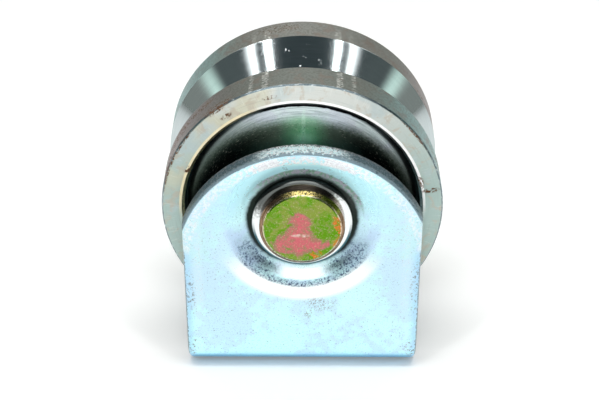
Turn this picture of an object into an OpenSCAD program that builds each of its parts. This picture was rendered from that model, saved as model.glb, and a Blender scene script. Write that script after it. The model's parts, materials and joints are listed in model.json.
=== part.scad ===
// V groove wheel on two sealed ball bearings. A headed axle carries it
// between the cheeks of a bracket that is folded from one steel strip.
//
// Millimetres, +Z up. The origin is the middle of the bracket's underside.
// The axle lies along Y, and the front of the part faces -Y.

/* [Wheel] */
// Outside diameter of the wheel
wheel_d = 80; // [74:1:110]
// Width of the wheel over its side faces
wheel_w = 40; // [38:1:60]
// Width of the V groove where it opens
groove_w = 20; // [12:1:26]
// Angle between the faces of the V groove
groove_angle = 90; // [70:5:120]
// Width of the flat at the bottom of the V groove
groove_root_w = 2; // [0.5:0.5:4]
// Chamfer on the outer corners of the rim
rim_chamfer = 0.5; // [0.3:0.1:1.5]
// Diameter of the turned recess in each side face
recess_d = 67; // [60:0.5:70]
// Depth of the front recess
recess_depth = 3; // [2:0.5:7]
// Fillet at the bottom of each recess
recess_fillet = 2; // [1:0.5:5]
// Bevel at the mouth of each recess
recess_bevel = 0.8; // [0.2:0.1:1.5]
// Thickness of the lip that stops the front bearing
lip_t = 3; // [2:0.5:5]
// How far the lip stands inside the bearing bore
lip_h = 3; // [2:0.5:4.5]

/* [Bracket] */
// Width of the strip
strip_w = 67.8; // [60:0.2:70]
// Thickness of the strip
strip_t = 5; // [3:0.5:6]
// Rounding of the strip's sides on its outer face
strip_edge_r = 1.6; // [0.4:0.1:2.5]
// Inside radius of the two bends
bend_r = 3; // [1:0.5:8]
// Radius of the arched top of each cheek
arch_r = 36.5; // [36:0.5:60]
// How far the middle of the arch lies below the axle
arch_drop = 13.5; // [8:0.1:16]
// How far the middle of the arch lies to the right of the axle
arch_shift = 0.5; // [0:0.1:0.9]
// Rounding of the cropped edge of the arch on its outer face
arch_edge_r = 0.8; // [0.2:0.1:2]
// Room between the wheel and each cheek
side_gap = 3; // [2:0.5:8]
// Room between the wheel and the base
wheel_clear = 6.2; // [4:0.1:20]

/* [Dish] */
// Depth of the dish pressed into each cheek
dish_depth = 2.5; // [2:0.1:3]
// Diameter of the flat floor of the dish
dish_floor_d = 30; // [29.5:0.5:34]
// Slope of the side of the dish
dish_angle = 26; // [20:1:29]
// Radius where the side meets the floor
dish_floor_r = 5; // [1:0.25:6]
// Radius where the side meets the face of the cheek
dish_shoulder_r = 14; // [6.5:0.5:16]

/* [Axle] */
// Diameter of the axle, and of the bearings' bores
axle_d = 20; // [17:0.5:22]
// Diameter of each axle head
head_d = 24; // [23:0.2:27]
// Height of each axle head
head_h = 2.8; // [2:0.1:6]
// Height of the sloping edge of the head
head_bevel_h = 1; // [0.5:0.1:1.9]
// Width of the sloping edge of the head
head_bevel_w = 1.5; // [0.5:0.1:3]
// Outside diameter of the washers
washer_d = 28.4; // [27.2:0.2:29.2]
// Thickness of the washers
washer_t = 2.1; // [1:0.1:3]
// Width of the pressed washers' rolled edge
washer_roll_w = 1.2; // [0.6:0.1:1.3]
// How far the rolled edge drops at the washers' outside
washer_roll_h = 0.5; // [0.1:0.1:0.6]
// Wall of the spacer sleeves
spacer_wall = 3; // [1.5:0.1:3.4]
// Chamfer on the ends of the sleeves
spacer_chamfer = 0.4; // [0.1:0.1:0.7]

/* [Bearings] */
// Outside diameter of the bearings
bearing_d = 42; // [40:1:46]
// Width of each bearing
bearing_w = 12; // [11:0.5:14]
// Corner chamfer of the bearing rings
ring_chamfer = 0.6; // [0.2:0.1:1]
// Diameter of the balls
ball_d = 6.35; // [5.5:0.05:7]
// Balls in each bearing
ball_count = 9; // [7:1:9]
// From the ball circle to the shoulders of each ring
shoulder_reach = 1.9; // [1.4:0.1:2.2]
// Thickness of the seals
seal_t = 1; // [0.6:0.1:1.2]
// How far the seals sit inside the rings' faces
seal_inset = 0.3; // [0:0.1:0.5]
// How far the seals reach into the outer ring
seal_seat = 1.2; // [0.6:0.1:1.6]
// Thickness of the ball cages
cage_t = 0.6; // [0.4:0.05:0.8]
// Width of the ball cages
cage_w = 1.8; // [1.4:0.1:2.2]
// Diameter of the cage rivets
cage_rivet_d = 0.9; // [0.6:0.1:1]
// How far the rivet heads stand out round their shanks
cage_rivet_rim = 0.35; // [0.2:0.05:0.4]
// Height of the rivet heads
cage_rivet_head_h = 0.35; // [0.2:0.05:0.6]

/* [Retaining ring] */
// Thickness of the retaining ring
clip_t = 1.75; // [1.5:0.05:2]
// Depth of its groove in the bearing bore
clip_groove_depth = 1.25; // [0.8:0.05:1.6]
// Width of the ring opposite its gap
clip_back_w = 4.1; // [3.4:0.1:4.6]
// Width of the ring beside its gap
clip_end_w = 2.6; // [2:0.1:3.2]
// Gap between the two ends
clip_gap = 5; // [3:0.5:8]
// Radius of the rounded lugs at the ends
clip_lug_r = 3; // [2.4:0.1:3.2]
// Diameter of the holes in the lugs
clip_hole_d = 2.2; // [1.5:0.1:2.6]
// Wall left outside the ring's groove
clip_wall = 1.15; // [0.8:0.05:2]

/* [Clearances] */
// Radial room of a seated bearing ring
ring_fit = 0.03; // [0.01:0.01:0.05]
// Room between a ball and its race or pocket
ball_fit = 0.08; // [0.05:0.01:0.1]
// Radial room of the axle in cheeks, washers and sleeves
axle_fit = 0.1; // [0.05:0.01:0.2]
// Room round the rubbing edge of a seal
seal_fit = 0.15; // [0.1:0.01:0.2]
// Room round the seated edge of a seal
seal_seat_fit = 0.05; // [0.02:0.01:0.1]
// Room of the retaining ring in its groove
clip_fit = 0.1; // [0.05:0.01:0.15]

/* [Hidden] */
$fn = 96;
// How far a cut runs past the face that it opens
over = 1;
// How far the retaining ring's round lugs run past its outer edge before it trims them
lug_trim = 0.3;

wheel_r = wheel_d / 2;
half_w = wheel_w / 2;
inner_half = half_w + side_gap;
bend_out_r = bend_r + strip_t;
axle_z = strip_t + wheel_clear + wheel_r;
arch_z = axle_z - arch_drop;
axle_r = axle_d / 2;

groove_depth = (groove_w - groove_root_w) / 2 / tan(groove_angle / 2);

// Along the axle: the front bearing meets the lip, the rear one meets the front
// one, and the retaining ring closes the bore just inside the rear web face.
bore_y = -half_w + recess_depth + lip_t;
front_bearing_y = bore_y + bearing_w / 2;
rear_bearing_y = front_bearing_y + bearing_w;
clip_y = bore_y + 2 * bearing_w;
clip_groove_w = clip_t + clip_fit;
rear_recess_depth = half_w - clip_y - clip_groove_w - clip_wall;

// The floor of each dish, inside and outside the bracket
dish_in_y = inner_half - dish_depth;
dish_out_y = dish_in_y + strip_t;
head_y = dish_out_y + washer_t;

// Each bearing, between its bore and its outside
bearing_r = bearing_d / 2;
pitch_r = (axle_r + bearing_r) / 2;
ball_r = ball_d / 2;
race_r = ball_r + ball_fit;
inner_shoulder_r = pitch_r - shoulder_reach;
outer_shoulder_r = pitch_r + shoulder_reach;
seal_seat_r = outer_shoulder_r + seal_seat;
ball_step = 360 / ball_count;
cage_rivet_head_r = cage_rivet_d / 2 + cage_rivet_rim;

zinc_blue = [0.78, 0.86, 0.88];
turned_steel = [0.66, 0.68, 0.67];
yellow_zinc = [0.70, 0.66, 0.30];
bright_zinc = [0.90, 0.92, 0.93];
bearing_steel = [0.72, 0.73, 0.75];
cage_steel = [0.60, 0.61, 0.62];
seal_rubber = [0.05, 0.05, 0.06];
spring_steel = [0.18, 0.18, 0.19];

// Turns a part drawn round Z so that it lies round the axle, with its origin at y
module on_axle(y = 0) {
    translate([0, y, axle_z])
        rotate([-90, 0, 0])
            children();
}

// Repeats its child over the balls of a bearing, or over the spaces between them
module round_balls(shift = 0) {
    for (i = [0:ball_count - 1])
        rotate(ball_angle(i) + shift)
            translate([pitch_r, 0, 0])
                children();
}

// Angle of one ball: the first is at the top
function ball_angle(i) = i * ball_step - 90;

// Section of a plate of thickness t, out to an edge that is rounded on its far face
module rounded_edge(reach, t, r) {
    square([reach, t - r]);
    square([reach - r, t]);
    translate([reach - r, t - r])
        circle(r);
}

// Section from radius a to radius b over a width w, with chamfered inner or outer corners
module ring_section(a, b, w, inner_chamfer = 0, outer_chamfer = 0) {
    polygon([
        [a + inner_chamfer, -w / 2],
        [b - outer_chamfer, -w / 2],
        [b, -w / 2 + outer_chamfer],
        [b, w / 2 - outer_chamfer],
        [b - outer_chamfer, w / 2],
        [a + inner_chamfer, w / 2],
        [a, w / 2 - inner_chamfer],
        [a, -w / 2 + inner_chamfer]
    ]);
}

// ---- Bracket ----

// Section of the strip: X across it, and Y from its inner to its outer face
module strip_section() {
    rounded_edge(strip_w / 2, strip_t, strip_edge_r);
    mirror([1, 0])
        rounded_edge(strip_w / 2, strip_t, strip_edge_r);
}

module base_run() {
    run = 2 * (inner_half - bend_r);
    translate([0, -run / 2, strip_t])
        rotate([-90, 0, 0])
            linear_extrude(run)
                strip_section();
}

module bend() {
    translate([0, inner_half - bend_r, bend_out_r])
        rotate([90, 0, 90])
            rotate(-90)
                rotate_extrude(angle = 90)
                    translate([bend_r, 0])
                        rotate(-90)
                            strip_section();
}

// Places its children round the middle of the rear cheek's arch, along +Y
module on_arch() {
    translate([arch_shift, inner_half, arch_z])
        rotate([-90, 0, 0])
            children();
}

// The rear cheek: the strip runs up to a cropped arch, and the dish bulges its inner face
module cheek() {
    translate([0, inner_half, bend_out_r])
        linear_extrude(arch_z - bend_out_r)
            strip_section();
    intersection() {
        translate([0, inner_half, arch_z])
            linear_extrude(arch_r)
                strip_section();
        on_arch()
            rotate_extrude()
                rounded_edge(arch_r, strip_t, arch_edge_r);
    }
    intersection() {
        on_axle(inner_half)
            rotate_extrude()
                dish_section(strip_t);
        on_arch()
            translate([0, 0, -dish_depth])
                cylinder(h = dish_depth + over, r = arch_r);
    }
}

// Section between the axle and one surface of the dish. The surface lies a depth
// below the outer face, so its two radii grow and shrink by that depth.
module dish_section(below) {
    floor_r = dish_floor_r + below;
    shoulder_r = dish_shoulder_r - below;
    top = strip_t - below;
    bottom = top - dish_depth;
    bend_drop = (floor_r + shoulder_r) * (1 - cos(dish_angle));
    slope = (dish_depth - bend_drop) / sin(dish_angle);
    a = dish_floor_d / 2;
    b = a + (floor_r + shoulder_r) * sin(dish_angle) + slope * cos(dish_angle);
    difference() {
        intersection() {
            union() {
                polygon([
                    [0, bottom],
                    [a, bottom],
                    [a + floor_r * sin(dish_angle), bottom + floor_r * (1 - cos(dish_angle))],
                    [b - shoulder_r * sin(dish_angle), top - shoulder_r * (1 - cos(dish_angle))],
                    [b, top],
                    [b, top + over],
                    [0, top + over]
                ]);
                translate([a, bottom + floor_r])
                    circle(floor_r);
            }
            translate([0, bottom])
                square([b, dish_depth + over]);
        }
        translate([b, top - shoulder_r])
            circle(shoulder_r);
    }
}

module rear_half_of_bracket() {
    difference() {
        union() {
            bend();
            cheek();
        }
        on_axle(inner_half)
            rotate_extrude()
                dish_section(0);
        on_axle(inner_half - dish_depth - over)
            cylinder(h = strip_t + 2 * over, r = axle_r + axle_fit);
    }
}

module bracket() {
    color(zinc_blue) {
        base_run();
        rear_half_of_bracket();
        mirror([0, 1, 0])
            rear_half_of_bracket();
    }
}

// ---- Axle, washers and sleeves ----

module axle() {
    head_r = head_d / 2;
    end_y = head_y + head_h;
    face_r = head_r - head_bevel_w;
    bevel_y = end_y - head_bevel_h;
    color(yellow_zinc)
        on_axle()
            rotate_extrude()
                polygon([
                    [0, -end_y],
                    [face_r, -end_y],
                    [head_r, -bevel_y],
                    [head_r, -head_y],
                    [axle_r, -head_y],
                    [axle_r, head_y],
                    [head_r, head_y],
                    [head_r, bevel_y],
                    [face_r, end_y],
                    [0, end_y]
                ]);
}

// A washer with its seat at z = 0. Its far face rolls over in an arc towards the outside.
module washer() {
    bore_r = axle_r + axle_fit;
    r = washer_d / 2;
    flat_r = r - washer_roll_w;
    arc_r = (pow(washer_roll_w, 2) + pow(washer_roll_h, 2)) / (2 * washer_roll_h);
    color(bright_zinc)
        rotate_extrude()
            difference() {
                union() {
                    square([r, washer_t - washer_roll_h]);
                    square([flat_r, washer_t]);
                    intersection() {
                        square([r, washer_t]);
                        translate([flat_r, washer_t - arc_r])
                            circle(arc_r);
                    }
                }
                translate([0, -over])
                    square([bore_r, washer_t + 2 * over]);
            }
}

module front_washer() {
    mirror([0, 1, 0])
        rear_washer();
}

module rear_washer() {
    on_axle(dish_out_y)
        washer();
}

// A sleeve from one place on the axle to another
module spacer(from, to) {
    a = axle_r + axle_fit;
    color(bright_zinc)
        on_axle((from + to) / 2)
            rotate_extrude()
                ring_section(a, a + spacer_wall, to - from, spacer_chamfer, spacer_chamfer);
}

module front_spacer() {
    spacer(-dish_in_y, bore_y);
}

module rear_spacer() {
    spacer(clip_y, dish_in_y);
}

// ---- Wheel ----

// The recess in the side face at y = 0, cut towards +y
module recess_section(depth) {
    r = recess_d / 2;
    fillet = min(recess_fillet, depth - recess_bevel);
    translate([0, -over])
        square([r - fillet, depth + over]);
    translate([0, -over])
        square([r, depth - fillet + over]);
    translate([r - fillet, depth - fillet])
        circle(fillet);
    polygon([
        [0, -over],
        [r + recess_bevel + over, -over],
        [r, recess_bevel],
        [0, recess_bevel]
    ]);
}

module groove_section() {
    grow = over * tan(groove_angle / 2);
    polygon([
        [wheel_r - groove_depth, -groove_root_w / 2],
        [wheel_r + over, -groove_w / 2 - grow],
        [wheel_r + over, groove_w / 2 + grow],
        [wheel_r - groove_depth, groove_root_w / 2]
    ]);
}

// The stepped bore: the hole in the lip, the seat of the bearings, the ring's groove
module bore_section() {
    seat_r = bearing_r + ring_fit;
    translate([0, -half_w])
        square([bearing_r - lip_h, wheel_w]);
    translate([0, bore_y])
        square([seat_r, wheel_w]);
    translate([0, clip_y])
        square([bearing_r + clip_groove_depth, clip_groove_w]);
}

module wheel() {
    color(turned_steel)
        on_axle()
            rotate_extrude()
                difference() {
                    ring_section(0, wheel_r, wheel_w, 0, rim_chamfer);
                    groove_section();
                    translate([0, -half_w])
                        recess_section(recess_depth);
                    translate([0, half_w])
                        mirror([0, 1])
                            recess_section(rear_recess_depth);
                    bore_section();
                }
}

// Internal retaining ring, on the rear face of the rear bearing, gap at the top
module retaining_ring() {
    r = bearing_r + clip_groove_depth - clip_fit;
    lug_r = r - clip_lug_r + lug_trim;
    lug_angle = asin((clip_gap / 2 + clip_lug_r) / lug_r);
    inner_r = r - (clip_back_w + clip_end_w) / 2;
    offset_y = (clip_back_w - clip_end_w) / 2;
    color(spring_steel)
        on_axle(clip_y)
            linear_extrude(clip_t)
                difference() {
                    intersection() {
                        circle(r);
                        union() {
                            difference() {
                                circle(r);
                                translate([0, -offset_y])
                                    circle(inner_r);
                            }
                            for (side = [-1, 1])
                                rotate(side * lug_angle)
                                    translate([0, -lug_r])
                                        circle(clip_lug_r);
                        }
                    }
                    translate([-clip_gap / 2, -r - over])
                        square([clip_gap, r]);
                    for (side = [-1, 1])
                        rotate(side * lug_angle)
                            translate([0, -lug_r])
                                circle(d = clip_hole_d);
                }
}

// ---- Ball bearings, each drawn round Z with its middle at z = 0 ----

module inner_ring() {
    color(bearing_steel)
        rotate_extrude()
            difference() {
                ring_section(axle_r + ring_fit, inner_shoulder_r, bearing_w, ring_chamfer, 0);
                translate([pitch_r, 0])
                    circle(race_r);
            }
}

module outer_ring() {
    seat_w = seal_inset + seal_t;
    color(bearing_steel)
        rotate_extrude()
            difference() {
                ring_section(outer_shoulder_r, bearing_r, bearing_w, 0, ring_chamfer);
                translate([pitch_r, 0])
                    circle(race_r);
                for (side = [0, 1])
                    mirror([0, side])
                        translate([0, bearing_w / 2 - seat_w])
                            square([seal_seat_r, seat_w + over]);
            }
}

// A moulded seal with a thinner web between its seated rim and its rubbing lip
module seal() {
    web_t = seal_t / 2;
    lip_r = inner_shoulder_r + seal_fit;
    rim_r = seal_seat_r - seal_seat_fit;
    rib = (rim_r - lip_r) / 4;
    color(seal_rubber)
        translate([0, 0, bearing_w / 2 - seal_inset])
            rotate_extrude()
                polygon([
                    [lip_r, -seal_t],
                    [rim_r, -seal_t],
                    [rim_r, 0],
                    [rim_r - rib, 0],
                    [rim_r - rib - web_t / 2, -web_t / 2],
                    [lip_r + rib + web_t / 2, -web_t / 2],
                    [lip_r + rib, 0],
                    [lip_r, 0]
                ]);
}

// The rear half of a pressed cage: a ribbon that runs round the balls' backs
module cage_half() {
    shell_r = race_r + cage_t;
    color(cage_steel)
        difference() {
            intersection() {
                difference() {
                    cylinder(h = shell_r, r = pitch_r + cage_w / 2);
                    translate([0, 0, -over])
                        cylinder(h = shell_r + 2 * over, r = pitch_r - cage_w / 2);
                }
                union() {
                    cylinder(h = cage_t, r = pitch_r + cage_w);
                    round_balls()
                        sphere(shell_r);
                }
            }
            round_balls()
                sphere(race_r);
            round_balls(ball_step / 2)
                translate([0, 0, -over])
                    cylinder(h = cage_t + 2 * over, d = cage_rivet_d + ball_fit);
        }
}

module cage_rivets() {
    color(cage_steel)
        round_balls(ball_step / 2) {
            translate([0, 0, -cage_t])
                cylinder(h = 2 * cage_t, d = cage_rivet_d);
            for (side = [0, 1])
                mirror([0, 0, side])
                    translate([0, 0, cage_t])
                        cylinder(h = cage_rivet_head_h, r = cage_rivet_head_r);
        }
}

module ball(i) {
    color(bearing_steel)
        rotate(ball_angle(i - 1))
            translate([pitch_r, 0, 0])
                sphere(ball_r);
}

module front_inner_ring() on_axle(front_bearing_y) inner_ring();
module front_outer_ring() on_axle(front_bearing_y) outer_ring();
module front_cage_front_half() on_axle(front_bearing_y) mirror([0, 0, 1]) cage_half();
module front_cage_rear_half() on_axle(front_bearing_y) cage_half();
module front_cage_rivets() on_axle(front_bearing_y) cage_rivets();
module front_bearing_front_seal() on_axle(front_bearing_y) mirror([0, 0, 1]) seal();
module front_bearing_rear_seal() on_axle(front_bearing_y) seal();
module front_ball(i) on_axle(front_bearing_y) ball(i);

module rear_inner_ring() on_axle(rear_bearing_y) inner_ring();
module rear_outer_ring() on_axle(rear_bearing_y) outer_ring();
module rear_cage_front_half() on_axle(rear_bearing_y) mirror([0, 0, 1]) cage_half();
module rear_cage_rear_half() on_axle(rear_bearing_y) cage_half();
module rear_cage_rivets() on_axle(rear_bearing_y) cage_rivets();
module rear_bearing_front_seal() on_axle(rear_bearing_y) mirror([0, 0, 1]) seal();
module rear_bearing_rear_seal() on_axle(rear_bearing_y) seal();
module rear_ball(i) on_axle(rear_bearing_y) ball(i);

bracket();
axle();
front_washer();
rear_washer();
front_spacer();
rear_spacer();
wheel();
front_inner_ring();
front_outer_ring();
front_cage_front_half();
front_cage_rear_half();
front_cage_rivets();
front_bearing_front_seal();
front_bearing_rear_seal();
rear_inner_ring();
rear_outer_ring();
rear_cage_front_half();
rear_cage_rear_half();
rear_cage_rivets();
rear_bearing_front_seal();
rear_bearing_rear_seal();
retaining_ring();
for (i = [1:ball_count]) {
    front_ball(i);
    rear_ball(i);
}
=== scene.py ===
"""Looks of the V groove wheel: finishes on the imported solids, a pale floor, soft boxes and a camera."""

import json
import math
from types import SimpleNamespace

import bpy
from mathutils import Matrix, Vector


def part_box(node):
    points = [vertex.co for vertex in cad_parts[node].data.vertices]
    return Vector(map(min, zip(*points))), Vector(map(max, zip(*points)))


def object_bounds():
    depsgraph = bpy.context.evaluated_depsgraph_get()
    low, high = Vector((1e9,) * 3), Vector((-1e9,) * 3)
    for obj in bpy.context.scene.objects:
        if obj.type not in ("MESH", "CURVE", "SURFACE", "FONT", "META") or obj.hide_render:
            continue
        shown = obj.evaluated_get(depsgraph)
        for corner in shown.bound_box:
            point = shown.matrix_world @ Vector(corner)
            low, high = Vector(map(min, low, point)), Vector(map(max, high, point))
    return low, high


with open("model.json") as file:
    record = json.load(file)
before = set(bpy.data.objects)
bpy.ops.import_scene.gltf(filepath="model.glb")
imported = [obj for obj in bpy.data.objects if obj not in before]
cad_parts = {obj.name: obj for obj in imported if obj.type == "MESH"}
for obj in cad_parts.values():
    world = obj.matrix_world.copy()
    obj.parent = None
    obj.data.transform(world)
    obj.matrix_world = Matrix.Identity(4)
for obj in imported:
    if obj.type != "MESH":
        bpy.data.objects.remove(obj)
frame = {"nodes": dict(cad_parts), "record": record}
cad_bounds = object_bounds()

MM = 0.001
WHITE = (1.0, 1.0, 1.0)
NODES = frame["nodes"]

# Sizes of the part in millimetres, from the boxes of its pieces. The finishes are laid out from them.
wheel_low, wheel_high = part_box("wheel")
axle_low, axle_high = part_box("axle")
bracket_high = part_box("bracket")[1]
WHEEL_R = (wheel_high.x - wheel_low.x) / 2 / MM
WHEEL_HALF_W = (wheel_high.y - wheel_low.y) / 2 / MM
AXLE_Z = (wheel_high.z + wheel_low.z) / 2 / MM
HEAD_R = (axle_high.x - axle_low.x) / 2 / MM
HEAD_Y = axle_high.y / MM
STRIP_HALF_W = bracket_high.x / MM
STRIP_TOP = bracket_high.z / MM
# More sizes of the part: half the groove, the recess, the washers, and the arch with its middle
GROOVE_HALF_W = 10.0
RECESS_R = 33.5
WASHER_R = 14.2
ARCH_R = 36.5
ARCH_X = 0.5
ARCH_Z = STRIP_TOP - ARCH_R


# ---------------------------------------------------------------- node helpers


class Shade:
    """Builds the node tree of a material, a world or a light. Most methods return an output socket."""

    def __init__(self, owner):
        self.owner = owner
        owner.use_nodes = True
        self.tree = owner.node_tree

    def add(self, kind, inputs=(), **settings):
        """A node with its settings, and its inputs as a dict or a list of values and sockets."""
        node = self.tree.nodes.new(kind)
        for key, value in settings.items():
            setattr(node, key, value)
        pairs = inputs.items() if isinstance(inputs, dict) else enumerate(inputs)
        for key, value in pairs:
            self.put(node.inputs[key], value)
        return node

    def put(self, socket, value):
        """Links an output to the socket, or sets its value. A colour of three numbers gets its alpha."""
        if isinstance(value, bpy.types.NodeSocket):
            self.tree.links.new(value, socket)
        elif isinstance(value, tuple) and socket.type == "RGBA":
            socket.default_value = (*value[:3], 1.0)
        else:
            socket.default_value = value

    def math(self, operation, *values):
        return self.add("ShaderNodeMath", values, operation=operation).outputs[0]

    def plus(self, a, b):
        return self.math("ADD", a, b)

    def minus(self, a, b):
        return self.math("SUBTRACT", a, b)

    def absolute(self, value):
        return self.math("ABSOLUTE", value)

    def multiply(self, *factors):
        out = factors[0]
        for factor in factors[1:]:
            out = self.math("MULTIPLY", out, factor)
        return out

    def either(self, *masks):
        out = masks[0]
        for mask in masks[1:]:
            out = self.math("MAXIMUM", out, mask)
        return out

    def away(self, u, v):
        """The distance of (u, v) from (0, 0)."""
        return self.math("SQRT", self.plus(self.multiply(u, u), self.multiply(v, v)))

    def step(self, value, low, high):
        """0 where value is at low, 1 where it is at high, smooth between. low may be above high."""
        inputs = {"Value": value, "From Min": low, "From Max": high, "To Min": 0.0, "To Max": 1.0}
        return self.add("ShaderNodeMapRange", inputs, interpolation_type="SMOOTHSTEP").outputs["Result"]

    def band(self, value, middle, half, soft):
        """1 where value lies within half of middle, fading out over soft."""
        return self.step(self.absolute(self.minus(value, middle)), half + soft, half)

    def scale(self, value, low, high):
        """A 0 to 1 value stretched to run from low to high."""
        return self.math("MULTIPLY_ADD", value, high - low, low)

    def mix(self, mask, a, b):
        """Colour a where mask is 0, and b where it is 1."""
        return self.add("ShaderNodeMix", {0: mask, 6: a, 7: b}, data_type="RGBA").outputs[2]

    def paint(self, color, tint, *masks):
        """The colour, turned to tint where all the masks are 1."""
        return self.mix(self.multiply(*masks), color, tint)

    def vector(self, x, y, z):
        return self.add("ShaderNodeCombineXYZ", [x, y, z]).outputs[0]

    def noise(self, vector, scale, detail=3.0, rough=0.55, distortion=0.0):
        inputs = {
            "Vector": vector,
            "Scale": scale,
            "Detail": detail,
            "Roughness": rough,
            "Distortion": distortion,
        }
        return self.add("ShaderNodeTexNoise", inputs).outputs["Fac"]

    def spot(self, u, v, at_u, at_v, half_u, half_v, soft):
        """An oval patch round (at_u, at_v). Its edge is wider the nearer soft is to 1."""
        across = self.math("DIVIDE", self.minus(u, at_u), half_u)
        along = self.math("DIVIDE", self.minus(v, at_v), half_v)
        off = self.plus(self.multiply(across, across), self.multiply(along, along))
        return self.step(off, 1 + soft, 1 - soft)

    def patches(self, u, v, places, soft=0.6):
        """Oval patches, each given by its middle (u, v) and its half sizes, joined into one mask."""
        return self.either(*(self.spot(u, v, *place, soft) for place in places))

    def point(self):
        """The place on the piece that is shaded, in millimetres."""
        coords = self.add("ShaderNodeTexCoord").outputs["Object"]
        inputs = {"Vector": coords, "Scale": 1 / MM}
        return self.add("ShaderNodeVectorMath", inputs, operation="SCALE").outputs[0]

    def place(self):
        """The point, its x, y and z, and where it lies round the axle. up is its height over the axle,
        and radius its distance from it. angle is in degrees from straight above the axle, and positive
        to the right of the front. turn is the angle without its sign, and side is y without its sign."""
        point = self.point()
        x, y, z = self.add("ShaderNodeSeparateXYZ", [point]).outputs
        up = self.minus(z, AXLE_Z)
        angle = self.math("MULTIPLY", self.math("ARCTAN2", x, up), 180 / math.pi)
        at = SimpleNamespace(point=point, x=x, y=y, z=z, up=up, angle=angle)
        at.radius = self.away(x, up)
        at.turn = self.absolute(angle)
        at.side = self.absolute(y)
        return at

    def streaks(self, at, pitch, length):
        """Fine marks of a lathe: pitch millimetres across, and about length degrees long."""
        across = self.math("DIVIDE", at.radius, pitch)
        along = self.math("DIVIDE", at.y, pitch)
        marks = self.vector(across, along, self.math("DIVIDE", at.angle, length))
        return self.noise(marks, 1.0, 3.0, 0.65)

    def finish(self, color, roughness, metallic, bump, strength, depth, turned=None):
        """Sets the surface and returns the material. bump is a 0 to 1 height, and depth is its full
        height in millimetres. turned is how much lathe marks round the axle stretch the highlights."""
        bsdf = self.tree.nodes["Principled BSDF"]
        self.put(bsdf.inputs["Base Color"], color)
        self.put(bsdf.inputs["Roughness"], roughness)
        self.put(bsdf.inputs["Metallic"], metallic)
        inputs = {"Strength": strength, "Distance": depth * MM, "Height": bump}
        self.put(bsdf.inputs["Normal"], self.add("ShaderNodeBump", inputs).outputs["Normal"])
        if turned is not None:
            tangent = self.add("ShaderNodeTangent", direction_type="RADIAL", axis="Y").outputs[0]
            self.put(bsdf.inputs["Anisotropic"], turned)
            self.put(bsdf.inputs["Anisotropic Rotation"], 0.25)
            self.put(bsdf.inputs["Tangent"], tangent)
        return self.owner


# ----------------------------------------------------------------------- wheel

RUST = (0.17, 0.075, 0.03)
BURNT = (0.055, 0.030, 0.018)
DIRT = (0.13, 0.085, 0.055)

# Angle, radius, and half sizes of each rusty or scratched patch on the front side face
FACE_RUST = [
    (-37.0, 39.4, 4.0, 0.5),
    (-14.0, 37.0, 3.0, 0.6),
    (-35.0, 36.6, 3.0, 0.7),
    (-64.0, 39.5, 16.0, 0.35),
    (-68.0, 34.6, 2.2, 0.8),
    (75.0, 34.6, 3.0, 0.8),
    (52.0, 39.5, 8.0, 0.3),
    (80.0, 36.9, 1.2, 2.4),
]
# Angle, y, and half sizes of each rusty or dirty patch on the lands
LAND_RUST = [
    (-10.0, 16.0, 9.0, 2.6),
    (-45.0, -13.0, 7.0, 1.2),
    (-60.0, -13.5, 9.0, 2.6),
    (-36.0, -18.8, 7.0, 1.5),
    (-72.0, -17.5, 8.0, 2.4),
    (62.0, 11.5, 6.0, 1.2),
    (72.0, -14.0, 9.0, 2.0),
]
# x, y, and half sizes of each nicked place on the V's rear face
VEE_NICKS = [
    (1.6, 8.2, 1.1, 0.5),
    (0.4, 5.4, 1.0, 0.5),
    (-4.4, 7.2, 0.7, 0.9),
    (0.2, 3.4, 1.6, 0.35),
    (5.2, 4.6, 0.8, 0.8),
]


def wheel_place(sh):
    """The place on the wheel, which of its surfaces that is, and the noises that they share.
    lean is the sine of the angle: tints laid out by it meet without a line below the axle."""
    at = sh.place()
    at.lean = sh.math("DIVIDE", at.x, sh.math("MAXIMUM", at.radius, 1.0))
    at.rear = sh.step(at.y, -5.0, 5.0)

    in_groove = sh.step(at.side, GROOVE_HALF_W + 0.05, GROOVE_HALF_W - 0.05)
    at.on_vee = sh.multiply(in_groove, sh.step(at.radius, 28.0, 29.0))
    rim = sh.step(at.radius, WHEEL_R - 0.12, WHEEL_R - 0.04)
    at.on_land = sh.multiply(rim, sh.step(in_groove, 1.0, 0.0))
    at.on_face = sh.step(at.side, WHEEL_HALF_W - 0.12, WHEEL_HALF_W - 0.04)
    off_face = sh.step(at.on_face, 1.0, 0.0)
    at.in_recess = sh.step(at.radius, RECESS_R + 0.06, RECESS_R - 0.02)
    mouth = sh.step(at.radius, RECESS_R + 2.5, RECESS_R + 2.0)
    at.on_bevel = sh.multiply(sh.step(at.side, WHEEL_HALF_W - 1.0, WHEEL_HALF_W - 0.85), off_face, mouth)
    outside = sh.step(at.radius, WHEEL_R - 0.6, WHEEL_R - 0.5)
    at.on_chamfer = sh.multiply(sh.step(at.side, WHEEL_HALF_W - 0.55, WHEEL_HALF_W - 0.4), off_face, outside)

    at.lines = sh.streaks(at, 0.30, 14.0)
    at.dashes = sh.streaks(at, 0.32, 2.5)
    at.broad = sh.noise(at.point, 0.09, 3.0)
    at.fine = sh.noise(at.point, 1.6, 4.0, 0.65)
    at.blotch = sh.noise(at.point, 0.28, 4.0, 0.6, 0.6)
    return at


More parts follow.
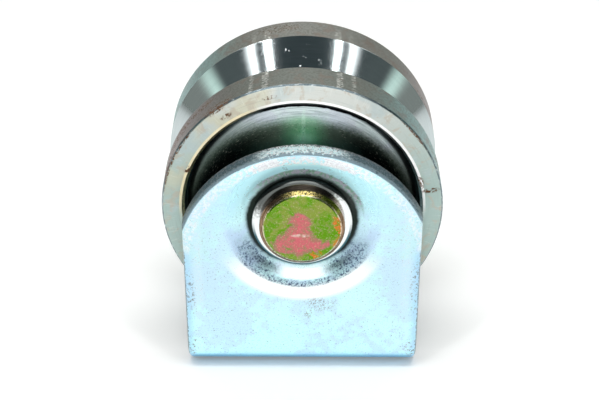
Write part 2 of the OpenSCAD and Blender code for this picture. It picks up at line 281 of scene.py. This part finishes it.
def wheel_face(sh, at):
    """Side faces: painted light and shade, pale at the top and greener and darker round the sides, with
    cream and brown stains.
    """
    # Painted light and shade: paler at the top of the face, greener and darker round its sides
    color = sh.mix(sh.step(at.turn, 20.0, 80.0), (0.62, 0.64, 0.61), (0.40, 0.51, 0.48))
    upper_left = sh.band(at.angle, -45.0, 25.0, 20.0)
    color = sh.paint(color, (0.60, 0.58, 0.43), sh.step(at.broad, 0.42, 0.60), upper_left, 0.7)
    color = sh.paint(color, (0.46, 0.55, 0.56), sh.step(at.broad, 0.48, 0.38), 0.6)
    color = sh.paint(color, (0.50, 0.43, 0.34), sh.step(at.blotch, 0.50, 0.64), 0.6)
    outward = sh.vector(sh.multiply(at.angle, 2.2), sh.multiply(at.radius, 0.25), 0.0)
    color = sh.paint(color, (0.85, 0.86, 0.82), sh.step(sh.noise(outward, 1.0, 2.0), 0.60, 0.68), 0.22)
    color = sh.paint(color, (0.30, 0.33, 0.31), sh.step(at.lines, 0.56, 0.70), 0.30)
    color = sh.paint(color, (0.34, 0.31, 0.26), sh.step(at.fine, 0.60, 0.72), 0.25)

    # A painted highlight along the rim of the recess, white to the right and yellow to the left
    at_right = sh.band(at.angle, 35.0, 42.0, 20.0)
    color = sh.paint(color, WHITE, sh.band(at.radius, RECESS_R + 1.15, 0.25, 0.25), at_right)
    at_left = sh.band(at.angle, -58.0, 26.0, 14.0)
    return sh.paint(color, (0.92, 0.80, 0.52), sh.band(at.radius, RECESS_R + 1.1, 0.30, 0.25), at_left, 0.8)


def wheel_bevel(sh, at):
    """The bevel round each recess: a painted highlight in yellow to the left, and painted shade in black
    with a ragged edge at the top.
    """
    # Painted highlight: yellow on the left of the bevel
    color = sh.mix(sh.band(at.angle, -62.0, 40.0, 8.0), (0.75, 0.80, 0.80), (0.80, 0.70, 0.42))
    # Painted shade: black with a ragged edge at the top
    ragged = sh.plus(at.radius, sh.scale(at.blotch, -0.35, 0.35))
    inner = sh.step(ragged, RECESS_R + 0.85, RECESS_R + 0.65)
    return sh.paint(color, (0.01, 0.01, 0.012), sh.band(at.angle, 6.0, 24.0, 14.0), inner)


def wheel_land(sh, at):
    """Lands: grey and speckled, with painted reflections in teal and pink where they turn away, and painted
    glints in line with the V's highlights.
    """
    color = sh.mix(at.rear, (0.24, 0.26, 0.24), (0.31, 0.315, 0.295))
    # Painted reflections: teal where a land turns away to one side, pink where it turns to the other
    to_left = sh.step(at.lean, -0.37, -0.77)
    color = sh.paint(color, (0.31, 0.48, 0.48), sh.mix(at.rear, sh.step(at.lean, 0.37, 0.77), to_left))
    color = sh.paint(color, (0.31, 0.28, 0.28), sh.mix(at.rear, to_left, sh.step(at.lean, 0.64, 0.94)))
    color = sh.paint(color, (0.12, 0.12, 0.11), sh.step(at.fine, 0.44, 0.60), 0.45)
    color = sh.paint(color, (0.27, 0.20, 0.17), sh.step(at.blotch, 0.50, 0.66), 0.5)
    # Painted glints in columns, in line with the V's highlights
    columns = sh.either(sh.band(at.turn, 14.8, 0.9, 0.8), sh.multiply(sh.band(at.turn, 20.6, 0.5, 0.8), 0.6))
    glint = sh.multiply(columns, sh.step(at.dashes, 0.52, 0.60), sh.step(at.y, 18.0, 13.0))
    return sh.paint(color, (0.95, 0.95, 0.92), glint)


def wheel_recess(sh, at):
    """Recesses: pale and ringed round the outside, with painted shade within and to the sides, and a painted
    green reflection straight above the axle.
    """
    color = sh.mix(sh.step(at.lines, 0.32, 0.66), (0.36, 0.44, 0.44), (0.68, 0.76, 0.77))
    color = sh.paint(color, (0.50, 0.48, 0.62), sh.step(at.broad, 0.52, 0.62), 0.35)
    # Painted shade: darker to the left and to the right, and near black in the corner at the sides
    color = sh.paint(color, (0.16, 0.20, 0.19), sh.step(at.lean, -0.26, -0.88))
    color = sh.paint(color, (0.20, 0.24, 0.23), sh.step(at.lean, 0.71, 0.98))
    corner = sh.step(at.radius, 30.8, 31.8)
    color = sh.paint(color, (0.025, 0.03, 0.03), corner, sh.step(sh.absolute(at.lean), 0.45, 0.75), 0.85)

    # Painted shade within, and the further from the top, the further out that reaches
    inward = sh.plus(at.radius, sh.scale(at.fine, -1.5, 1.5))
    inward = sh.minus(inward, sh.multiply(sh.absolute(sh.minus(at.angle, 5.0)), 0.06))
    color = sh.paint(color, (0.12, 0.17, 0.12), sh.step(inward, 28.4, 24.5), 0.92)
    color = sh.paint(color, (0.025, 0.04, 0.035), sh.step(inward, 27.0, 24.0), sh.step(at.turn, 20.0, 50.0))

    # A painted green reflection, brighter low down, with a painted pale streak and painted glints in dashes
    glow = sh.multiply(sh.band(at.x, 0.5, 1.0, 7.5), sh.step(at.radius, 29.5, 27.0))
    color = sh.paint(color, (0.30, 0.62, 0.36), glow, 0.7)
    painted_low_glow = sh.multiply(sh.band(at.x, 0.5, 1.0, 3.0), sh.step(at.radius, 24.0, 21.5))
    color = sh.paint(color, (0.60, 0.85, 0.66), painted_low_glow, 0.6)
    painted_streak = sh.multiply(sh.band(at.x, 0.3, 0.15, 0.7), sh.step(at.fine, 0.30, 0.60))
    color = sh.paint(color, (0.66, 0.86, 0.72), painted_streak, sh.step(at.radius, 31.5, 29.0), 0.5)
    glint_ring = sh.multiply(sh.step(at.radius, 31.0, 28.0), sh.step(at.radius, 22.5, 25.0))
    color = sh.paint(color, (0.80, 0.84, 0.70), sh.step(at.dashes, 0.60, 0.66), glint_ring, 0.35)

    # A ragged black line of painted shade in the corner, at the top
    outer = sh.plus(sh.away(sh.plus(at.up, 1.9), at.x), sh.scale(at.blotch, -0.5, 0.5))
    painted_shade = sh.multiply(sh.step(outer, 33.4, 33.6), sh.band(at.angle, 8.0, 26.0, 12.0))
    return sh.paint(color, (0.006, 0.006, 0.007), painted_shade)


def wheel_rust(sh, at, color):
    """The colour with its rust, in chosen places and broken up by noise, and the rust's mask."""
    ragged = sh.noise(at.point, 0.9, 5.0, 0.7, 0.8)
    on_front = sh.step(at.y, -WHEEL_HALF_W + 1.2, -WHEEL_HALF_W + 0.8)
    on_face = sh.multiply(sh.patches(at.angle, at.radius, FACE_RUST), on_front, sh.step(ragged, 0.46, 0.56))
    toward_edge = sh.multiply(sh.step(at.side, WHEEL_HALF_W - 1.0, WHEEL_HALF_W - 0.5), 0.10)
    dots = sh.step(sh.plus(at.fine, toward_edge), 0.50, 0.58)
    round_rim = sh.either(at.on_land, at.on_chamfer)
    on_land = sh.multiply(sh.patches(at.angle, at.y, LAND_RUST), round_rim, dots, 0.9)
    rust = sh.either(on_face, on_land)
    tone = sh.mix(sh.step(ragged, 0.56, 0.64), sh.mix(at.rear, RUST, DIRT), BURNT)
    return sh.paint(color, tone, rust), rust


def wheel_steel():
    """Turned steel: bright V faces, satin lands, pale stained side faces and dark ringed recesses, with
    painted light and shade on the faces, bevels, lands and recesses.
    """
    sh = Shade(bpy.data.materials.new("wheel_steel"))
    at = wheel_place(sh)
    color = sh.mix(at.in_recess, (0.62, 0.66, 0.64), wheel_recess(sh, at))
    color = sh.paint(color, wheel_face(sh, at), at.on_face)
    color = sh.paint(color, wheel_bevel(sh, at), at.on_bevel)
    color = sh.paint(color, wheel_land(sh, at), at.on_land)
    color = sh.paint(color, sh.mix(at.lines, (0.50, 0.56, 0.57), (0.66, 0.72, 0.73)), at.on_vee)
    chamfer = sh.mix(sh.step(at.dashes, 0.55, 0.62), (0.16, 0.21, 0.23), (0.60, 0.66, 0.68))
    color = sh.paint(color, chamfer, at.on_chamfer)
    color, rust = wheel_rust(sh, at, color)

    # Nicks in the V, bright where they catch the light
    broken = sh.step(sh.noise(at.point, 1.3, 3.0, 0.7), 0.60, 0.66)
    at_top = sh.step(at.up, 0.0, 5.0)
    nick = sh.multiply(broken, sh.patches(at.x, at.y, VEE_NICKS), at.on_vee, at_top)
    color = sh.paint(color, (0.85, 0.90, 0.92), nick)

    rough = sh.scale(at.dashes, 0.22, 0.36)
    rough = sh.plus(rough, sh.multiply(sh.either(at.on_face, at.on_land), 0.10))
    polished = sh.multiply(at.on_vee, sh.scale(at.dashes, 0.03, 0.12))
    rough = sh.plus(sh.multiply(rough, sh.step(at.on_vee, 1.0, 0.0)), polished)
    rough = sh.plus(rough, sh.multiply(sh.either(rust, nick), 0.4))
    height = sh.multiply(sh.plus(at.dashes, sh.multiply(at.fine, 0.3)), sh.scale(at.on_vee, 1.0, 0.12))
    metal = sh.minus(1.0, sh.multiply(rust, 0.8))
    return sh.finish(color, rough, metal, height, 0.35, 0.03, turned=0.6)


# --------------------------------------------------------------------- bracket

# x, z, and half sizes of the scuffed place under the axle, and of the worn places along the sides
SCUFFED = [(5.0, AXLE_Z - 27.6, 4.2, 2.2), (1.8, AXLE_Z - 30.5, 1.2, 2.0)]
WORN = [(-32.5, 8.0, 2.0, 3.5), (32.5, 7.0, 2.5, 4.0), (-32.5, 27.0, 1.6, 8.0), (32.5, 30.0, 1.4, 9.0)]


def bracket_place(sh):
    """The place on the bracket, how far it lies inside the cheek's outline, and the shared noises."""
    at = sh.place()
    over = sh.minus(at.z, ARCH_Z)
    at.arch_gap = sh.minus(ARCH_R, sh.away(over, sh.minus(at.x, ARCH_X)))
    at.side_gap = sh.minus(STRIP_HALF_W, sh.absolute(at.x))
    at.on_arch = sh.step(over, 0.0, 6.0)
    at.on_sides = sh.step(at.on_arch, 1.0, 0.4)
    at.broad = sh.noise(at.point, 0.06, 3.0)
    at.mottle = sh.noise(at.point, 0.35, 4.0, 0.6)
    at.grain = sh.noise(at.point, 1.1, 4.0, 0.65)
    at.speck = sh.noise(at.point, 1.9, 4.0, 0.75)
    return at


def plain_zinc(sh, at):
    """Pale blue, with bluish clouds and dark specks, and painted light and shade: paler in the middle and
    low down, and bluer, then darker, where the strip turns under.
    """
    # Painted light: paler in the middle of the cheek, and paler still low down
    middle = sh.step(sh.absolute(at.x), 30.0, 12.0)
    color = sh.mix(middle, (0.54, 0.79, 0.85), (0.62, 0.93, 0.95))
    color = sh.paint(color, (0.64, 1.0, 1.0), sh.step(at.z, 34.0, 12.0))
    cloud = sh.plus(at.broad, sh.multiply(at.mottle, 0.6))
    color = sh.paint(color, (0.57, 0.74, 0.94), sh.step(cloud, 0.74, 0.92), 0.6)
    color = sh.paint(color, (0.26, 0.42, 0.50), sh.step(at.speck, 0.55, 0.62), 0.30)
    color = sh.paint(color, (0.10, 0.16, 0.18), sh.step(at.speck, 0.63, 0.67), 0.75)
    # Painted reflection and shade: bluer where the strip bends under, and darker at its foot
    color = sh.paint(color, (0.20, 0.62, 0.92), sh.step(at.z, 6.5, 1.8))
    return sh.paint(color, (0.10, 0.22, 0.27), sh.step(at.z, 1.7, 0.9))


def dish_top(sh, at, color):
    """Painted reflections round the top of the dish, bluer, and green and pink above the axle, with painted
    shade round the washer.
    Returns the colour and the mask of what is dull."""
    # Painted reflections: bluer round the top of the dish
    round_dish = sh.band(at.radius, 22.5, 2.0, 3.0)
    color = sh.paint(color, (0.48, 0.78, 0.98), round_dish, sh.step(at.turn, 110.0, 60.0), 0.5)
    blue = sh.multiply(sh.band(at.radius, 19.0, 2.2, 1.8), sh.step(at.turn, 95.0, 55.0), 0.9)
    color = sh.paint(color, (0.54, 0.92, 1.0), blue)

    # How far a point lies past the inner edge of the painted shade, which follows the washer
    wider = sh.multiply(sh.step(at.turn, 160.0, 120.0), sh.scale(sh.step(at.turn, 75.0, 25.0), 0.7, -0.2))
    past = sh.minus(sh.minus(at.radius, WASHER_R + 0.4), wider)
    past = sh.plus(past, sh.scale(at.mottle, -0.5, 0.5))
    # Painted reflection of the head: green and pink above the axle
    tone = sh.mix(sh.step(at.grain, 0.46, 0.54), (0.14, 0.26, 0.12), (0.40, 0.30, 0.38))
    tinted = sh.multiply(sh.step(past, 2.8, 2.0), sh.band(at.angle, 12.0, 48.0, 30.0), 0.8)
    color = sh.paint(color, tone, tinted)
    # Painted shade: darker, then black, close round the washer
    color = sh.paint(color, (0.22, 0.32, 0.34), sh.step(past, 1.8, 0.5), 0.5)
    color = sh.paint(color, (0.018, 0.026, 0.022), sh.step(past, 1.1, 0.0))
    return color, sh.either(tinted, blue)


def dish_foot(sh, at, color):
    """A painted white highlight in a crescent round the lower side of the dish, with painted reflections
    beside and inside it: bluish, pale, and speckled dark patches.
    """
    # Painted reflections: bluish beside the crescent, and paler just inside it
    beside = sh.multiply(sh.band(at.radius, 19.0, 1.8, 2.2), sh.band(at.turn, 118.0, 14.0, 16.0))
    color = sh.paint(color, (0.42, 0.52, 0.74), beside, 0.45)
    inside = sh.multiply(sh.band(at.radius, 17.5, 1.2, 0.8), sh.step(at.turn, 148.0, 162.0))
    color = sh.paint(color, (0.72, 0.80, 0.84), inside, 0.6)
    # Painted highlight: the white crescent
    color = sh.paint(color, WHITE, sh.band(at.radius, 23.6, 1.1, 2.2), sh.step(at.turn, 112.0, 142.0))
    # Painted reflection: speckled dark patches and a dark arc inside the crescent
    dark = sh.multiply(sh.band(at.radius, 18.2, 1.4, 2.0), sh.band(at.turn, 134.0, 12.0, 20.0))
    arc = sh.multiply(sh.band(at.radius, 20.7, 0.6, 0.8), sh.step(at.turn, 110.0, 130.0))
    broken = sh.step(sh.plus(at.speck, sh.multiply(at.grain, 0.6)), 0.66, 0.86)
    return sh.paint(color, (0.05, 0.08, 0.15), sh.either(dark, arc), sh.scale(broken, 1.0, 0.3))


def outline_painted_light(sh, at, color):
    """Painted highlights as white speckles inside the arch and along the sides, and painted reflection and
    shade: bluer sides with a dark ragged outline.
    """
    # Painted highlights: white speckles round the arch, strongest at its top, and along the sides
    thick = sh.either(sh.band(at.angle, -26.0, 5.0, 5.0), sh.band(at.angle, 25.0, 6.0, 5.0))
    broken = sh.step(sh.plus(at.grain, sh.multiply(thick, 0.2)), 0.42, 0.56)
    round_arch = sh.multiply(sh.band(at.arch_gap, 2.4, 1.1, 0.8), at.on_arch, broken)
    along_side = sh.multiply(sh.band(at.side_gap, 4.3, 0.4, 1.4), sh.step(at.speck, 0.46, 0.60))
    along_side = sh.multiply(along_side, sh.step(at.z, 14.0, 26.0), 0.5)
    white = sh.mix(sh.step(at.speck, 0.45, 0.55), (0.82, 0.74, 0.78), WHITE)
    stronger = sh.scale(sh.step(at.turn, 60.0, 35.0), 0.45, 0.85)
    color = sh.paint(color, white, sh.either(round_arch, along_side), stronger)
    # Painted reflection: bluer near the sides; painted shade: a dark ragged outline at their edge
    color = sh.paint(color, (0.38, 0.66, 0.90), sh.step(at.side_gap, 3.2, 0.8), at.on_sides, 0.55)
    outline = sh.plus(at.side_gap, sh.scale(at.grain, -0.8, 0.8))
    return sh.paint(color, (0.12, 0.13, 0.13), sh.step(outline, 0.55, 0.25), at.on_sides, 0.8)


def cropped_edge(sh, at):
    """The edge cropped to the arch: pale with painted light and speckled with painted glints at the top,
    dark with painted shade down its flanks, and dark at the back.
    """
    # Painted light and shade: pale at the top of the edge, dark down its flanks
    flank = sh.step(sh.plus(at.turn, sh.scale(at.grain, -10.0, 10.0)), 20.0, 36.0)
    front = sh.mix(flank, (0.70, 0.92, 0.95), (0.05, 0.10, 0.12))
    torn = sh.plus(at.side, sh.scale(at.grain, -3.0, 3.0))
    color = sh.mix(sh.step(torn, 27.3, 26.7), (0.20, 0.28, 0.32), front)
    color = sh.paint(color, (0.10, 0.12, 0.13), sh.step(torn, 24.0, 23.5))
    # Painted glints: white speckles, strongest at the top
    off_corner = sh.step(at.side, 27.6, 27.0)
    color = sh.paint(color, WHITE, sh.step(at.speck, 0.50, 0.58), off_corner, sh.scale(flank, 1.0, 0.22))
    return sh.paint(color, (0.13, 0.20, 0.25), sh.step(at.grain, 0.54, 0.60), 0.6)


def bracket_zinc():
    """Blue passivated zinc on pressed strip: paler and speckled near its edges with painted highlights, with
    more painted light and shade, and scuffed and scratched.
    """
    sh = Shade(bpy.data.materials.new("bracket_zinc"))
    at = bracket_place(sh)
    color = plain_zinc(sh, at)
    color, dull = dish_top(sh, at, color)
    color = dish_foot(sh, at, color)
    color = outline_painted_light(sh, at, color)
    cropped = sh.multiply(sh.step(at.arch_gap, 0.75, 0.45), at.on_arch)
    color = sh.paint(color, cropped_edge(sh, at), cropped)

    # A scuff under the axle, thin slanted scratches and a few brown nicks
    scuff = sh.multiply(sh.step(at.speck, 0.46, 0.56), sh.step(at.mottle, 0.38, 0.52))
    scuff = sh.multiply(scuff, sh.patches(at.x, at.z, SCUFFED))
    color = sh.paint(color, (0.30, 0.29, 0.28), scuff, 0.65)
    slanted = sh.vector(sh.plus(at.x, sh.multiply(at.z, 0.4)), 0.0, sh.multiply(at.z, 0.06))
    scratch = sh.step(sh.noise(slanted, 2.2, 2.0), 0.70, 0.73)
    color = sh.paint(color, (0.90, 0.92, 0.94), scratch, sh.step(at.broad, 0.44, 0.56), 0.55)
    nick = sh.multiply(sh.step(at.grain, 0.52, 0.60), sh.step(at.speck, 0.44, 0.52))
    color = sh.paint(color, (0.18, 0.17, 0.16), nick, sh.patches(at.x, at.z, WORN), 0.8)

    in_dish = sh.step(at.radius, 25.0, 20.0)
    rough = sh.plus(sh.scale(at.mottle, 0.12, 0.20), sh.multiply(in_dish, 0.12))
    rough = sh.plus(rough, sh.multiply(sh.either(cropped, scuff), 0.25))
    metal = sh.minus(1.0, sh.multiply(sh.either(cropped, dull), 0.8))
    height = sh.plus(sh.multiply(at.speck, 0.5), sh.multiply(at.grain, 0.5))
    return sh.finish(color, rough, metal, height, 0.3, 0.025)


# ---------------------------------------------------------- axle and its pieces

# x, height over the axle's middle, and half sizes of the tinted patches on the head's face
PINK = [(-0.4, 2.0, 2.6, 3.4), (-1.2, -1.6, 3.4, 2.6), (-2.0, -4.8, 5.4, 3.2), (3.4, -5.8, 3.4, 1.7)]
ORANGE = [(10.6, -0.6, 1.3, 6.4), (3.2, -9.0, 1.6, 0.8)]


def head_face(sh, at):
    """Mottled green, with pink and orange patches whose edges wander, and pale specks."""
    cloud = sh.noise(at.point, 0.22, 4.0, 0.65, 0.8)
    wander = sh.multiply(sh.minus(cloud, 0.5), 9.0)
    u = sh.plus(at.x, wander)
    v = sh.plus(at.up, wander)
    color = sh.mix(sh.step(cloud, 0.42, 0.58), (0.11, 0.29, 0.008), (0.23, 0.30, 0.05))
    color = sh.paint(color, (0.32, 0.33, 0.15), sh.step(at.fine, 0.50, 0.64), 0.5)
    pink = sh.plus(sh.patches(u, v, PINK, 0.95), sh.scale(at.fine, -0.6, 0.6))
    deep = sh.plus(pink, sh.scale(at.fine, -1.0, 1.0))
    tone = sh.mix(sh.step(deep, 0.35, 1.15), (0.33, 0.19, 0.13), (0.62, 0.12, 0.17))
    color = sh.paint(color, tone, sh.step(pink, 0.02, 0.42), 0.92)
    color = sh.paint(color, (0.62, 0.17, 0.03), sh.patches(u, v, ORANGE), sh.step(at.fine, 0.30, 0.55))
    return sh.paint(color, (0.72, 0.66, 0.40), sh.step(at.speck, 0.60, 0.66), 0.7)


def head_slope(sh, at):
    """The head's sloping edge with painted light and shade: flecked gold at the top, green beside that, and
    brown round the rest.
    """
    gold = sh.mix(sh.step(at.speck, 0.47, 0.55), (0.80, 0.66, 0.26), (0.10, 0.08, 0.03))
    green = sh.mix(sh.step(at.speck, 0.48, 0.56), (0.28, 0.36, 0.04), (0.07, 0.09, 0.02))
    brown = sh.mix(sh.step(at.lines, 0.44, 0.58), (0.09, 0.06, 0.03), (0.40, 0.26, 0.17))
    # Painted light and shade: gold at the top, green beside it, brown round the rest
    brown = sh.paint(brown, green, sh.band(at.angle, 45.0, 14.0, 10.0))
    return sh.mix(sh.step(at.turn, 34.0, 22.0), brown, gold)


def axle_zinc():
    """Yellow passivated zinc: tinted face, a painted highlight as a pale line round it, a slope with painted
    light and shade, and a streaked shank.
    """
    sh = Shade(bpy.data.materials.new("axle_zinc"))
    at = sh.place()
    at.fine = sh.noise(at.point, 1.3, 4.0, 0.7)
    at.speck = sh.noise(at.point, 2.8, 3.0, 0.7)
    at.lines = sh.streaks(at, 0.16, 20.0)
    color = head_face(sh, at)
    color = sh.paint(color, head_slope(sh, at), sh.step(at.radius, HEAD_R - 1.25, HEAD_R - 0.95))
    # Painted highlight: a pale line round the edge of the face
    rim = sh.band(at.radius, HEAD_R - 1.1, 0.10, 0.12)
    color = sh.paint(color, (0.86, 0.78, 0.58), rim, sh.step(at.fine, 0.40, 0.55), 0.8)
    shank = sh.mix(sh.step(at.lines, 0.42, 0.58), (0.07, 0.05, 0.035), (0.42, 0.31, 0.25))
    color = sh.paint(color, shank, sh.step(at.side, HEAD_Y - 1.2, HEAD_Y - 1.5))
    scuff = sh.multiply(sh.spot(at.x, at.up, -0.3, -2.2, 2.6, 0.5, 0.9), sh.step(at.fine, 0.35, 0.75))
    color = sh.paint(color, (0.74, 0.68, 0.58), scuff)
    rough = sh.plus(sh.scale(at.fine, 0.14, 0.30), sh.multiply(scuff, 0.2))
    height = sh.plus(sh.multiply(at.lines, 0.4), sh.multiply(at.fine, 0.6))
    return sh.finish(color, rough, 1.0, height, 0.4, 0.04)


def washer_zinc():
    """Bright zinc on the washers, with painted shade: dark over the axle, dark teal round the lower edge,
    and a dark line round the rim.
    """
    sh = Shade(bpy.data.materials.new("washer_zinc"))
    at = sh.place()
    rings = sh.streaks(at, 0.16, 20.0)
    fine = sh.noise(at.point, 1.5, 4.0, 0.6)
    color = sh.mix(fine, (0.80, 0.84, 0.84), (0.90, 0.93, 0.93))
    # Painted shade and reflection: dark over the top of the washer
    from_top = sh.plus(sh.absolute(sh.plus(at.angle, 12.0)), sh.scale(fine, -15.0, 15.0))
    painted_shade = sh.mix(rings, (0.05, 0.06, 0.06), (0.20, 0.21, 0.20))
    color = sh.paint(color, painted_shade, sh.step(from_top, 72.0, 50.0))
    # Painted shade: dark teal round the lower edge, and a dark line round the rim
    roll = sh.step(at.radius, WASHER_R - 1.0, WASHER_R - 0.6)
    color = sh.paint(color, (0.05, 0.14, 0.17), roll, sh.step(at.turn, 85.0, 110.0))
    color = sh.paint(color, (0.05, 0.07, 0.07), sh.step(at.radius, WASHER_R - 0.25, WASHER_R - 0.1))
    return sh.finish(color, sh.scale(rings, 0.10, 0.22), 1.0, rings, 0.15, 0.02)


def sleeve_zinc():
    """Bright zinc on the turned sleeves."""
    sh = Shade(bpy.data.materials.new("sleeve_zinc"))
    at = sh.place()
    rings = sh.streaks(at, 0.16, 20.0)
    fine = sh.noise(at.point, 1.5, 4.0, 0.6)
    color = sh.mix(fine, (0.684, 0.711, 0.72), (0.76, 0.79, 0.80))
    return sh.finish(color, sh.scale(rings, 0.06, 0.16), 1.0, rings, 0.15, 0.02)


def ground_steel(name, tint, smooth, worn):
    """Ground or pressed steel of the bearings' pieces, with faint rings and films of oil."""
    sh = Shade(bpy.data.materials.new(name))
    at = sh.place()
    rings = sh.streaks(at, 0.12, 20.0)
    oil = sh.noise(at.point, 0.35, 3.0, 0.6, 0.4)
    color = sh.paint(tint, tuple(0.6 * c for c in tint), sh.step(oil, 0.45, 0.7), 0.5)
    return sh.finish(color, sh.scale(rings, smooth, worn), 1.0, rings, 0.15, 0.01)


def seal_rubber():
    """Black nitrile with a dusty bloom and a moulded grain."""
    sh = Shade(bpy.data.materials.new("seal_rubber"))
    point = sh.point()
    bloom = sh.noise(point, 0.4, 4.0, 0.65)
    color = sh.mix(sh.step(bloom, 0.4, 0.75), (0.018, 0.018, 0.02), (0.06, 0.058, 0.055))
    return sh.finish(color, sh.scale(bloom, 0.5, 0.75), 0.0, sh.noise(point, 4.0, 2.0), 0.3, 0.03)


def spring_steel():
    """Phosphated spring steel, dark grey with rubbed edges."""
    sh = Shade(bpy.data.materials.new("spring_steel"))
    point = sh.point()
    wear = sh.noise(point, 0.7, 4.0, 0.65)
    grain = sh.noise(point, 3.0, 3.0)
    color = sh.mix(sh.step(wear, 0.55, 0.75), (0.05, 0.05, 0.055), (0.22, 0.22, 0.22))
    return sh.finish(color, sh.scale(grain, 0.4, 0.6), 0.8, grain, 0.2, 0.02)


FINISHES = {
    "wheel_steel": wheel_steel(),
    "bracket_zinc": bracket_zinc(),
    "axle_yellow_zinc": axle_zinc(),
    "washer_zinc": washer_zinc(),
    "sleeve_zinc": sleeve_zinc(),
    "bearing_steel": ground_steel("bearing_steel", (0.62, 0.63, 0.64), 0.12, 0.24),
    "ball_steel": ground_steel("ball_steel", (0.76, 0.77, 0.78), 0.04, 0.08),
    "cage_steel": ground_steel("cage_steel", (0.50, 0.51, 0.52), 0.25, 0.40),
    "seal_rubber": seal_rubber(),
    "retaining_ring_steel": spring_steel(),
}

for part in frame["record"]["subparts"]:
    piece = NODES[part["node"]]
    piece.data.materials.clear()
    piece.data.materials.append(FINISHES[part["material_slot"]])


# -------------------------------------------------------------- floor and light


def pale_floor():
    """Matt white board that glows a little, so that its shadows stay soft."""
    sh = Shade(bpy.data.materials.new("pale_floor"))
    color = sh.mix(sh.noise(sh.point(), 0.01, 2.0), (0.94, 0.94, 0.94), (0.97, 0.97, 0.97))
    bsdf = sh.tree.nodes["Principled BSDF"]
    sh.put(bsdf.inputs["Base Color"], color)
    sh.put(bsdf.inputs["Roughness"], 0.6)
    sh.put(bsdf.inputs["Emission Color"], WHITE)
    sh.put(bsdf.inputs["Emission Strength"], 0.13)
    return sh.owner


bpy.ops.mesh.primitive_plane_add(size=8.0, location=(0, 0, cad_bounds[0][2]))
floor = bpy.context.object
floor.name = "floor"
floor.data.materials.append(pale_floor())

GREENISH = (0.75, 1.0, 0.9)
PANEL_DISTANCE = 1.2
# Where a soft box doesn't fade, its edge is this much of its width
THIN = 0.001


def panel(name, azimuth, elevation, wide, high, watts, tint=WHITE, left=0.0, right=0.0, ends=0.0):
    """A soft box that faces the part. azimuth 0 is straight in front, and positive is to the right.
    left and right are how much of its width fades out there, and ends how much of its height does
    at the top and the bottom."""
    light = bpy.data.lights.new(name, "AREA")
    light.shape = "RECTANGLE"
    light.size = wide
    light.size_y = high
    light.energy = watts
    light.color = tint
    lamp = bpy.data.objects.new(name, light)
    bpy.context.scene.collection.objects.link(lamp)
    round_z = math.radians(azimuth)
    up = math.radians(elevation)
    toward = Vector((math.sin(round_z) * math.cos(up), -math.cos(round_z) * math.cos(up), math.sin(up)))
    lamp.location = toward * PANEL_DISTANCE
    aim = Vector((0, 0, AXLE_Z * MM)) - lamp.location
    lamp.rotation_euler = aim.to_track_quat("-Z", "Y").to_euler()

    sh = Shade(light)
    parametric = sh.add("ShaderNodeNewGeometry").outputs["Parametric"]
    across, along = sh.add("ShaderNodeSeparateXYZ", [parametric]).outputs[:2]
    from_left = sh.step(across, -THIN, max(left, THIN))
    from_right = sh.step(across, 1 + THIN, min(1 - right, 1 - THIN))
    glow = sh.multiply(from_left, from_right)
    if ends:
        glow = sh.multiply(glow, sh.step(along, 0.0, ends), sh.step(along, 1.0, 1 - ends))
    sh.put(sh.tree.nodes["Emission"].inputs["Strength"], glow)


# Name, azimuth and elevation in degrees, width and height in metres, and watts
panel("left_inner_box", -42.7, 57, 0.050, 0.60, 1.3)
panel("right_inner_box", 42.7, 57, 0.040, 0.60, 1.0)
panel("left_outer_box", -56.3, 45, 0.10, 0.56, 0.62, left=0.9)
panel("right_outer_box", 55.2, 45, 0.10, 0.56, 0.62, right=0.9)
panel("left_side_box", -71, 22, 0.30, 0.40, 0.42, GREENISH, 0.5, 0.5, 0.5)
panel("right_side_box", 71, 22, 0.30, 0.40, 0.42, GREENISH, 0.5, 0.5, 0.5)
panel("front_box", 0, 22, 0.72, 0.78, 3.85)
panel("back_box", 180, 60, 1.40, 0.70, 2.0)
panel("top_box", 0, 82, 0.80, 0.26, 6.5)


def studio():
    """Dim ahead, brighter at the sides and behind, and a dark ceiling over the camera."""
    sh = Shade(bpy.data.worlds.new("studio"))
    toward = sh.add("ShaderNodeTexCoord").outputs["Generated"]
    x, y, z = sh.add("ShaderNodeSeparateXYZ", [toward]).outputs
    color = sh.mix(sh.step(z, 0.20, 0.36), (0.05, 0.06, 0.06), (0.11, 0.13, 0.13))
    color = sh.paint(color, (0.04, 0.055, 0.06), sh.step(z, 0.55, 0.80))
    beside = sh.step(sh.absolute(x), 0.80, 0.95)
    color = sh.paint(color, (0.30, 0.32, 0.30), beside, sh.step(z, 0.70, 0.50))
    color = sh.paint(color, (0.60, 0.61, 0.57), sh.step(y, 0.0, 0.35))
    sh.put(sh.tree.nodes["Background"].inputs["Color"], color)
    return sh.owner


bpy.context.scene.world = studio()
bpy.context.scene.view_settings.view_transform = "Standard"


# ---------------------------------------------------------------------- camera

# Fitted to the circles and edges that the photo shows. The angles are in degrees.
CAMERA_LENS = 86.04
CAMERA_AT = (0.0014, -0.3637, 0.2714)
CAMERA_DOWN = 32.28
CAMERA_TURN = 0.34

camera_data = bpy.data.cameras.new("camera")
camera_data.lens = CAMERA_LENS
camera_data.clip_start = 0.01
camera = bpy.data.objects.new("camera", camera_data)
bpy.context.scene.collection.objects.link(camera)
camera.location = CAMERA_AT
camera.rotation_euler = (math.radians(90 - CAMERA_DOWN), 0, math.radians(CAMERA_TURN))
bpy.context.scene.camera = camera
